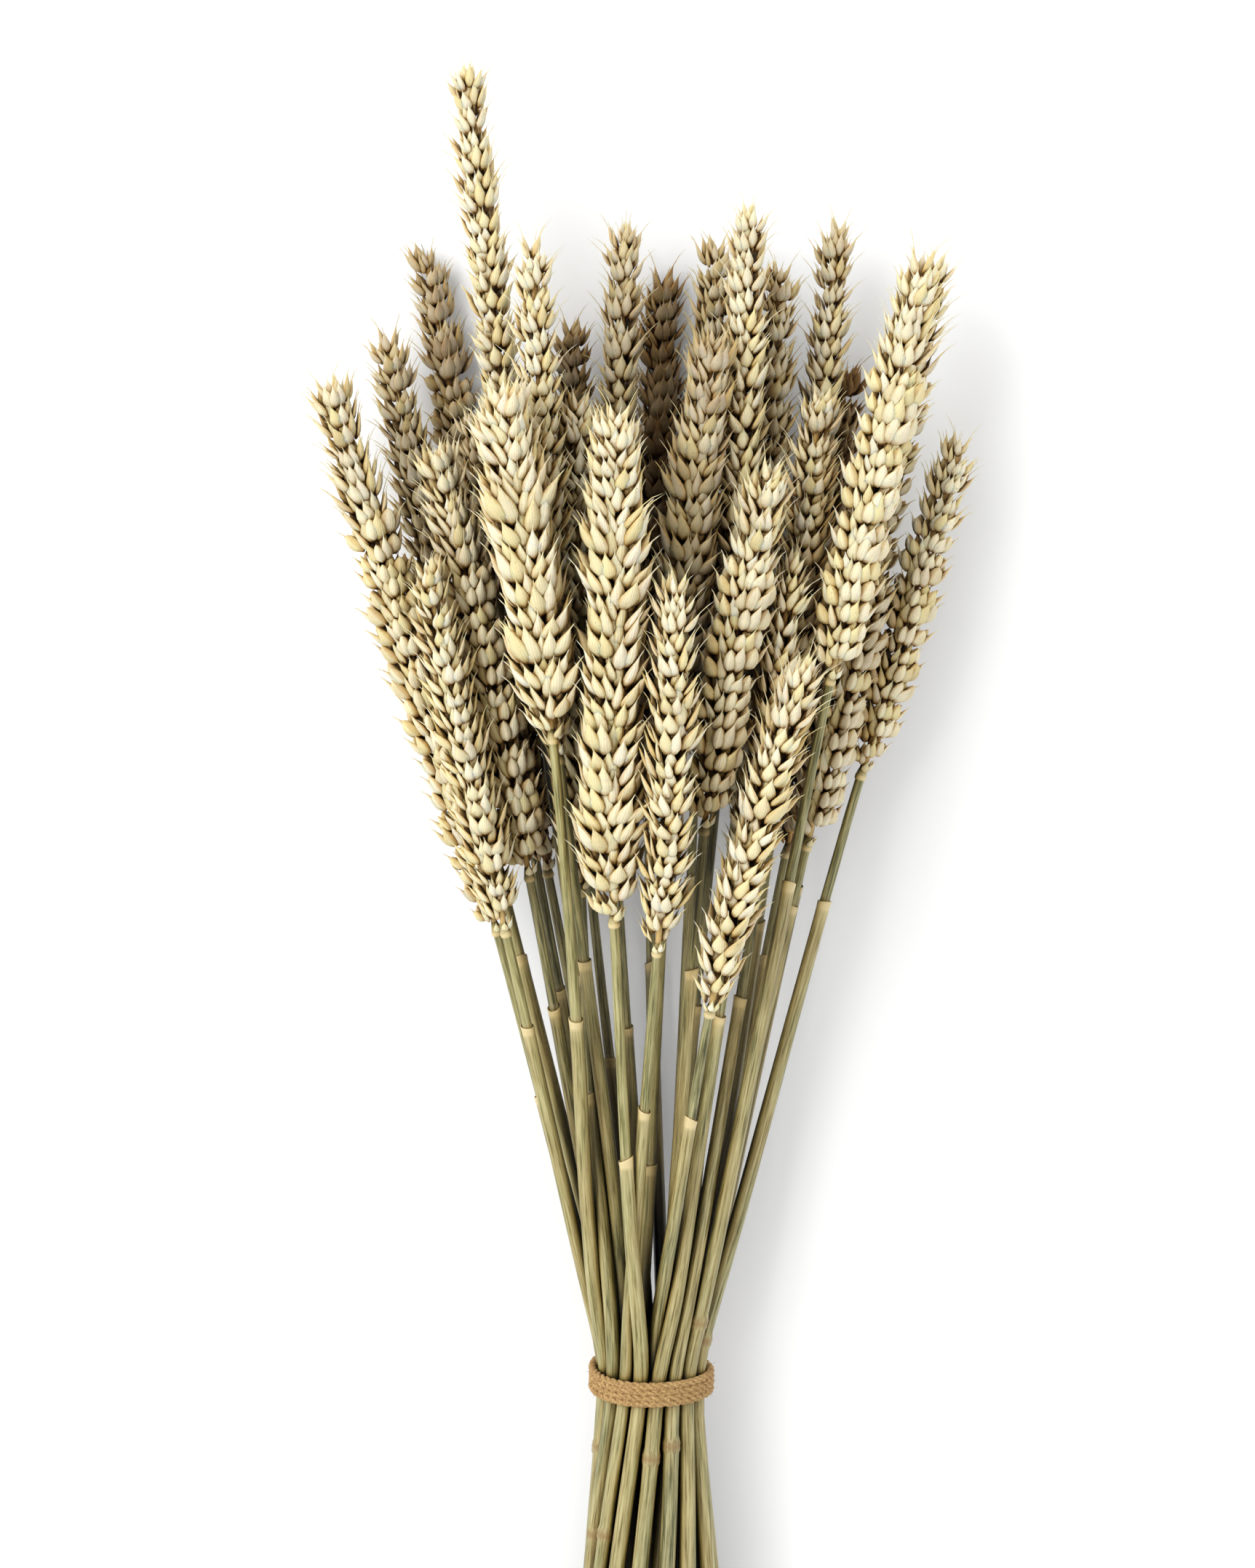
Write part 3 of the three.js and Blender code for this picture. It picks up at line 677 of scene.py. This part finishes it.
stem = {
    "sides": 14,  # round the straw
    "neck": 1.15 * mm,  # radius just under the ear
    "thickening": 0.0034,  # radius gained for each unit of length further down
    "sheath": 0.34 * mm,
    "lip": 0.5 * mm,  # how far a sheath's lip flares from the bare stem
    "knotEvery": 118 * mm,
    "knotSwell": 0.42 * mm,
    "hollow": 0.58,  # the bore, as a share of the stem
    "boreDepth": 7 * mm,
    "cutSlope": 0.25,
    "seed": 11,
}


def mouthBelowEar(number):  # how far under the ear the sheath starts, found as a step in the plain solid
    node = f"stem_{number:02d}"
    low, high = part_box(node)
    heights = np.arange(high.y - 3 * mm, low.y + 40 * mm, -1 * mm)
    _, widths = sliceMiddles(node, heights)
    jump = widths[2:] - widths[:-2]
    steps = np.nonzero(jump > 0.4 * mm)[0]
    return (high.y - heights[steps[0] + 1]) if len(steps) else 30 * mm


def strawShape(number, line, draw):
    mouth = mouthBelowEar(number)
    knots = [mouth + stem["knotEvery"] * k for k in (1, 2)]
    rows = []  # along from the cut end, radius, sheath, collar, knot colour (also painted shade in the bore and inside the sheath's mouth)

    def bare(down):
        return stem["neck"] + stem["thickening"] * down

    def row(down, radius, sheath=0.0, collar=0.0, knot=0.0):
        rows.append((line["foot"] - down, radius, sheath, collar, knot))

    foot = line["foot"]
    inner = bare(foot) * stem["hollow"]
    # painted shade: the bore is drawn darker towards its floor, with the knot colour
    rows.append((stem["boreDepth"], inner * 0.2, 0, 0, 0.9))
    rows.append((stem["boreDepth"], inner * 0.96, 0, 0, 0.7))
    rows.append((0.3 * mm, inner, 0, 0.5, 0.1))
    rows.append((0.0, inner + 0.12 * mm, 0, 0.7, 0))
    rows.append((0.0, bare(foot) * 0.96 + stem["sheath"] * 0.6, 0, 0.7, 0))
    downs = list(np.arange(foot - 0.4 * mm, mouth + 4 * mm, -5 * mm))
    downs = [d for d in downs if all(abs(d - k) > 4 * mm for k in knots)]
    knotShape = [(-2.6, 0.0, 0.0), (-1.4, 0.55, 0.35), (-0.7, 1.0, 0.8),
                 (0.0, 0.8, 1.0), (0.9, 0.95, 0.5), (1.9, 0.2, 0.0)]
    marks = [(k + at * mm, swell, dark)
             for k in knots for at, swell, dark in knotShape if k + 4 * mm < foot]
    steps = [(d, 0.0, 0.0) for d in downs] + marks
    for down, swell, dark in sorted(steps, reverse=True):
        pale = 0.35 * max(0.0, swell - dark)
        row(down, bare(down) + stem["sheath"] + swell * stem["knotSwell"], 1.0, pale, 0.75 * dark)
    row(mouth + 2.4 * mm, bare(mouth) + stem["sheath"] + 0.05 * mm, 1.0, 0.35)
    row(mouth + 1.3 * mm, bare(mouth) + stem["lip"] * 0.8, 1.0, 1.0)
    row(mouth + 0.2 * mm, bare(mouth) + stem["lip"] * 0.95, 1.0, 1.0)
    row(mouth - 0.5 * mm, bare(mouth) + stem["lip"], 1.0, 1.0)
    row(mouth - 0.55 * mm, bare(mouth) + stem["lip"] * 0.7, 1.0, 0.8)
    # painted shade: the fold inside the sheath's mouth is drawn darker, with the knot colour
    row(mouth + 0.5 * mm, bare(mouth) + 0.05 * mm, 0.2, 0.0, 0.5)
    for down in np.arange(mouth - 2 * mm, 3 * mm, -5 * mm):
        row(down, bare(down))
    row(1.4 * mm, bare(0))
    row(1.0 * mm, bare(0) + 0.28 * mm, 0, 1.0)
    row(0.3 * mm, bare(0) + 0.34 * mm, 0, 1.0)
    row(-0.2 * mm, bare(0) + 0.2 * mm, 0, 0.5)
    row(-2.6 * mm, bare(0) * 0.7, 0, 0.0)

    sides = stem["sides"]
    phase, oval, tint = draw.uniform(0, 2 * math.pi), draw.uniform(0.0, 0.07), draw.random()
    lipPhase, lipRise = draw.uniform(0, 2 * math.pi), draw.uniform(0.2, 0.9) * mm
    cutPhase = draw.uniform(0, 2 * math.pi)
    points, places, sheaths, collars, knotted = [], [], [], [], []
    for along, radius, sheath, collar, knot in rows:
        isLip = abs(line["foot"] - along - mouth) < 1 * mm
        atCut = max(0.0, 1 - along / (3 * mm))
        for k in range(sides):
            angle = 2 * math.pi * k / sides
            rib = 1 + 0.02 * math.cos(5 * angle + phase) + oval * math.cos(2 * angle + 2 * phase)
            r = radius * rib - (0.09 * mm * sheath if k == 3 else 0)
            y = along + (lipRise * math.cos(angle - lipPhase) if isLip else 0)
            y += atCut * stem["cutSlope"] * radius * math.cos(angle - cutPhase)
            points.append((r * math.cos(angle), y, r * math.sin(angle)))
            places.append((points[-1][0], y + number * 0.7, points[-1][2]))
            sheaths.append(sheath)
            collars.append(collar)
            knotted.append(knot)
    faces = [tuple(range(sides))]
    for ring in range(len(rows) - 1):
        for k in range(sides):
            a, b = ring * sides + k, ring * sides + (k + 1) % sides
            faces.append((a, a + sides, b + sides, b))
    top = (len(rows) - 1) * sides
    faces.append(tuple(top + k for k in range(sides))[::-1])
    mesh = meshOf(f"straw{number}", points, faces, straw=places, sheath=sheaths, collar=collars,
                  knot=knotted, tint=[tint] * len(points))
    mesh.shade_smooth()
    return mesh


def followTree():  # bends a straight straw, drawn along y, to its stalk's line
    tree, given, result = treeWith("followStalk", [("Line", "Object"), ("Straw", "Material")])
    route = add(tree, "GeometryNodeObjectInfo", inputs={0: given["Line"]}).outputs["Geometry"]
    curve = add(tree, "GeometryNodeMeshToCurve", inputs={"Mesh": route}).outputs[0]
    where = add(tree, "GeometryNodeInputPosition").outputs[0]
    parts = add(tree, "ShaderNodeSeparateXYZ", inputs={0: where}).outputs
    spot = add(tree, "GeometryNodeSampleCurve", {"mode": "LENGTH", "use_all_curves": True}, {
        "Curves": curve, "Length": parts["Y"]}).outputs
    across = add(tree, "ShaderNodeVectorMath", {"operation": "CROSS_PRODUCT"}, {
        0: spot["Normal"], 1: spot["Tangent"]}).outputs[0]
    sideways = add(tree, "ShaderNodeVectorMath", {"operation": "SCALE"}, {
        0: spot["Normal"], "Scale": parts["X"]}).outputs[0]
    upwards = add(tree, "ShaderNodeVectorMath", {"operation": "SCALE"}, {
        0: across, "Scale": parts["Z"]}).outputs[0]
    inPlane = add(tree, "ShaderNodeVectorMath", {"operation": "ADD"}, {0: sideways, 1: upwards}).outputs[0]
    there = add(tree, "ShaderNodeVectorMath", {"operation": "ADD"}, {
        0: spot["Position"], 1: inPlane}).outputs[0]
    bent = add(tree, "GeometryNodeSetPosition", inputs={
        "Geometry": given["Geometry"], "Position": there}).outputs[0]
    whole = add(tree, "GeometryNodeRealizeInstances", inputs={0: bent}).outputs[0]
    dressed = add(tree, "GeometryNodeSetMaterial", inputs={
        "Geometry": whole, "Material": given["Straw"]}).outputs[0]
    tree.links.new(dressed, result[0])
    return tree


stemTree = followTree()
draw = np.random.default_rng(stem["seed"])
for number, line in lines.items():
    node = f"stem_{number:02d}"
    lineUp = lineMesh(node + "Line", line, 0, line["foot"] + 4 * mm, 2 * mm)
    route = bpy.data.objects.new(node + "Line", lineUp)
    bpy.context.scene.collection.objects.link(route)
    piece = grown(node + "_straw", strawShape(number, line, draw), stemTree, {
        "Line": route, "Straw": straw})
    bpy.data.objects.remove(route)
    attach(piece, "root")
    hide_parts(node)
print("stems grown")


twine = {
    "turns": 4,
    "girth": 2.0 * mm,
    "lean": 2.6,  # degrees that the bundle's middle line climbs
    "plies": 3,
    "plyRadius": 0.56 * mm,
    "lay": 6.5 * mm,  # the length in which a ply winds once round
    "tuck": 1.5 * mm,  # how far the ends are pushed in under the turns
    "tuckOver": 0.5,  # radians
    "overrun": 0.4,  # radians that the end runs on past the last turn
    "startAt": math.pi * 1.35,
    "middle": 15 * mm,  # the twine's distance from the bundle's middle line
    "hairs": 420,
    "seed": 3,
}


def windingLine():
    low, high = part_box("twine_tie")
    centre = (low + high) / 2
    radius = (high.x - low.x) / 2 - twine["girth"] / 2
    half = twine["turns"] * twine["girth"] / 2
    lean = Matrix.Rotation(math.radians(twine["lean"]), 3, "X")
    points = []
    full = twine["turns"] * 2 * math.pi
    for a in np.arange(0, full + twine["overrun"], 0.07):
        y = -half + twine["girth"] / 2 + a / full * (2 * half - twine["girth"])
        nearEnd = min(a, full + twine["overrun"] - a)
        tucked = twine["tuck"] * max(0.0, 1 - nearEnd / twine["tuckOver"])
        r = radius - tucked + 0.14 * mm * math.sin(3.1 * a)
        y += 0.15 * mm * math.sin(2.3 * a + 1)
        angle = a + twine["startAt"]
        points.append(centre + lean @ Vector((r * math.cos(angle), y, r * math.sin(angle))))
    return meshOf("winding", points, edges=[(i, i + 1) for i in range(len(points) - 1)])


def twineTree():
    tree, given, result = treeWith("laidTwine", [
        ("Plies", "Int"), ("Ply radius", "Float"), ("Lay", "Float"), ("Hairs", "Float"), ("Seed", "Int"),
        ("Fibre", "Material")])
    line = add(tree, "GeometryNodeMeshToCurve", inputs={"Mesh": given["Geometry"]}).outputs[0]
    fine = add(tree, "GeometryNodeResampleCurve", {"mode": "LENGTH"}, {
        "Curve": line, "Length": 0.8 * mm}).outputs[0]
    copies = add(tree, "GeometryNodeDuplicateElements", {"domain": "SPLINE"}, {
        "Geometry": fine, "Amount": given["Plies"]})
    along = add(tree, "GeometryNodeSplineParameter").outputs["Length"]
    wound = add(tree, "ShaderNodeMath", {"operation": "DIVIDE"}, {0: along, 1: given["Lay"]}).outputs[0]
    split = add(tree, "ShaderNodeMath", {"operation": "DIVIDE"}, {
        0: copies.outputs["Duplicate Index"], 1: given["Plies"]}).outputs[0]
    turns = add(tree, "ShaderNodeMath", {"operation": "ADD"}, {0: wound, 1: split}).outputs[0]
    angle = add(tree, "ShaderNodeMath", {"operation": "MULTIPLY"}, {0: turns, 1: 2 * math.pi}).outputs[0]
    cosine = add(tree, "ShaderNodeMath", {"operation": "COSINE"}, {0: angle}).outputs[0]
    sine = add(tree, "ShaderNodeMath", {"operation": "SINE"}, {0: angle}).outputs[0]
    normal = add(tree, "GeometryNodeInputNormal").outputs[0]
    tangent = add(tree, "GeometryNodeInputTangent").outputs[0]
    across = add(tree, "ShaderNodeVectorMath", {"operation": "CROSS_PRODUCT"}, {
        0: tangent, 1: normal}).outputs[0]
    a = add(tree, "ShaderNodeVectorMath", {"operation": "SCALE"}, {0: normal, "Scale": cosine}).outputs[0]
    b = add(tree, "ShaderNodeVectorMath", {"operation": "SCALE"}, {0: across, "Scale": sine}).outputs[0]
    both = add(tree, "ShaderNodeVectorMath", {"operation": "ADD"}, {0: a, 1: b}).outputs[0]
    reach = add(tree, "ShaderNodeVectorMath", {"operation": "SCALE"}, {
        0: both, "Scale": given["Ply radius"]}).outputs[0]
    laid = add(tree, "GeometryNodeSetPosition", inputs={
        "Geometry": copies.outputs["Geometry"], "Offset": reach}).outputs[0]
    ring = add(tree, "GeometryNodeCurvePrimitiveCircle", inputs={
        "Resolution": 7, "Radius": given["Ply radius"]}).outputs[0]
    plies = add(tree, "GeometryNodeCurveToMesh", inputs={
        "Curve": laid, "Profile Curve": ring, "Fill Caps": True}).outputs[0]
    smooth = add(tree, "GeometryNodeSetShadeSmooth", inputs={0: plies}).outputs[0]

    spots = add(tree, "GeometryNodeDistributePointsOnFaces", {"distribute_method": "RANDOM"}, {
        "Mesh": smooth, "Density": given["Hairs"], "Seed": given["Seed"]})
    hair = add(tree, "GeometryNodeMeshCone", inputs={
        "Vertices": 3, "Radius Top": 0.0, "Radius Bottom": 0.045 * mm, "Depth": 1.5 * mm}).outputs["Mesh"]
    tilt = add(tree, "FunctionNodeRandomValue", {"data_type": "FLOAT_VECTOR"}, {
        0: (-1.3, -1.3, 0.0), 1: (1.3, 1.3, 3.0), "Seed": given["Seed"]}).outputs[0]
    bend = add(tree, "FunctionNodeEulerToRotation", inputs={0: tilt}).outputs[0]
    stand = add(tree, "FunctionNodeRotateRotation", {"rotation_space": "LOCAL"}, {
        0: spots.outputs["Rotation"], 1: bend}).outputs[0]
    fuzz = add(tree, "GeometryNodeInstanceOnPoints", inputs={
        "Points": spots.outputs["Points"], "Instance": hair, "Rotation": stand}).outputs[0]
    whole = add(tree, "GeometryNodeJoinGeometry")
    tree.links.new(smooth, whole.inputs[0])
    tree.links.new(fuzz, whole.inputs[0])
    real = add(tree, "GeometryNodeRealizeInstances", inputs={0: whole.outputs[0]}).outputs[0]
    dressed = add(tree, "GeometryNodeSetMaterial", inputs={
        "Geometry": real, "Material": given["Fibre"]}).outputs[0]
    tree.links.new(dressed, result[0])
    return tree


windingLength = twine["turns"] * 2 * math.pi * twine["middle"]
windingArea = windingLength * twine["plies"] * 2 * math.pi * twine["plyRadius"]
tie = grown("twine_tie_strands", windingLine(), twineTree(), {
    "Plies": twine["plies"],
    "Ply radius": twine["plyRadius"],
    "Lay": twine["lay"],
    "Hairs": twine["hairs"] / windingArea,
    "Seed": twine["seed"],
    "Fibre": jute,
})
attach(tie, "root")
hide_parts("twine_tie")
print("twine wound")


studio = {
    "floorHalf": 8.0,
    "floorColour": "#fafaf8",
    "sky": 1.02,
    "key": 31.5,
    "keyAt": (-1.15, 0.75, 1.75),
    "keySize": 1.5,
    "fill": 2.4,
    "fillAt": (1.3, -0.6, 1.6),
    "fillSize": 1.4,
    "skyColour": "#fbfcff",
}
camera = {
    "lens": 100.0,
    "distance": 1.09,
    "lookDown": 8.0,  # degrees that the camera leans from straight above towards the ears
    "aimAbove": 157.0 * mm,  # from the tie to the middle of the view
    "aimAside": -6.1 * mm,
    "aimOver": 15 * mm,
}


def lay(name, energy, size, spot, aim):
    data = bpy.data.lights.new(name, "AREA")
    data.energy = energy
    data.size = size
    light = bpy.data.objects.new(name, data)
    light.location = spot
    light.rotation_mode = "QUATERNION"
    light.rotation_quaternion = (aim - Vector(spot)).to_track_quat("-Z", "Y")
    bpy.context.scene.collection.objects.link(light)


tieLow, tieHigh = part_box("twine_tie")
tieCentre = (tieLow + tieHigh) / 2
aim = tieCentre + Vector((camera["aimAside"], camera["aimAbove"], camera["aimOver"]))

h = studio["floorHalf"]
floorMesh = meshOf("floor", [(-h, -h, 0), (h, -h, 0), (h, h, 0), (-h, h, 0)], [(0, 1, 2, 3)])
floor = bpy.data.objects.new("floor", floorMesh)
bpy.context.scene.collection.objects.link(floor)
paper, _, paperShader = surface("white backdrop paper", 0.9, 0.1)
paperShader.inputs["Base Color"].default_value = linear(studio["floorColour"])
floorMesh.materials.append(paper)

world = bpy.data.worlds.new("studio")
world.use_nodes = True
world.node_tree.nodes["Background"].inputs["Color"].default_value = linear(studio["skyColour"])
world.node_tree.nodes["Background"].inputs["Strength"].default_value = studio["sky"]
bpy.context.scene.world = world
lay("keyLight", studio["key"], studio["keySize"], studio["keyAt"], aim)
lay("fillLight", studio["fill"], studio["fillSize"], studio["fillAt"], aim)

lean = math.radians(camera["lookDown"])
view = bpy.data.cameras.new("camera")
view.lens = camera["lens"]
view.sensor_width = 36.0
view.clip_start = 0.01
eye = bpy.data.objects.new("camera", view)
back = Vector((0, math.sin(lean), math.cos(lean)))
eye.matrix_world = Matrix((
    (1, 0, 0, 0), (0, back.z, back.y, 0), (0, -back.y, back.z, 0), (0, 0, 0, 1)))
eye.location = aim + back * camera["distance"]
bpy.context.scene.collection.objects.link(eye)
bpy.context.scene.camera = eye
bpy.context.scene.view_settings.view_transform = "Standard"
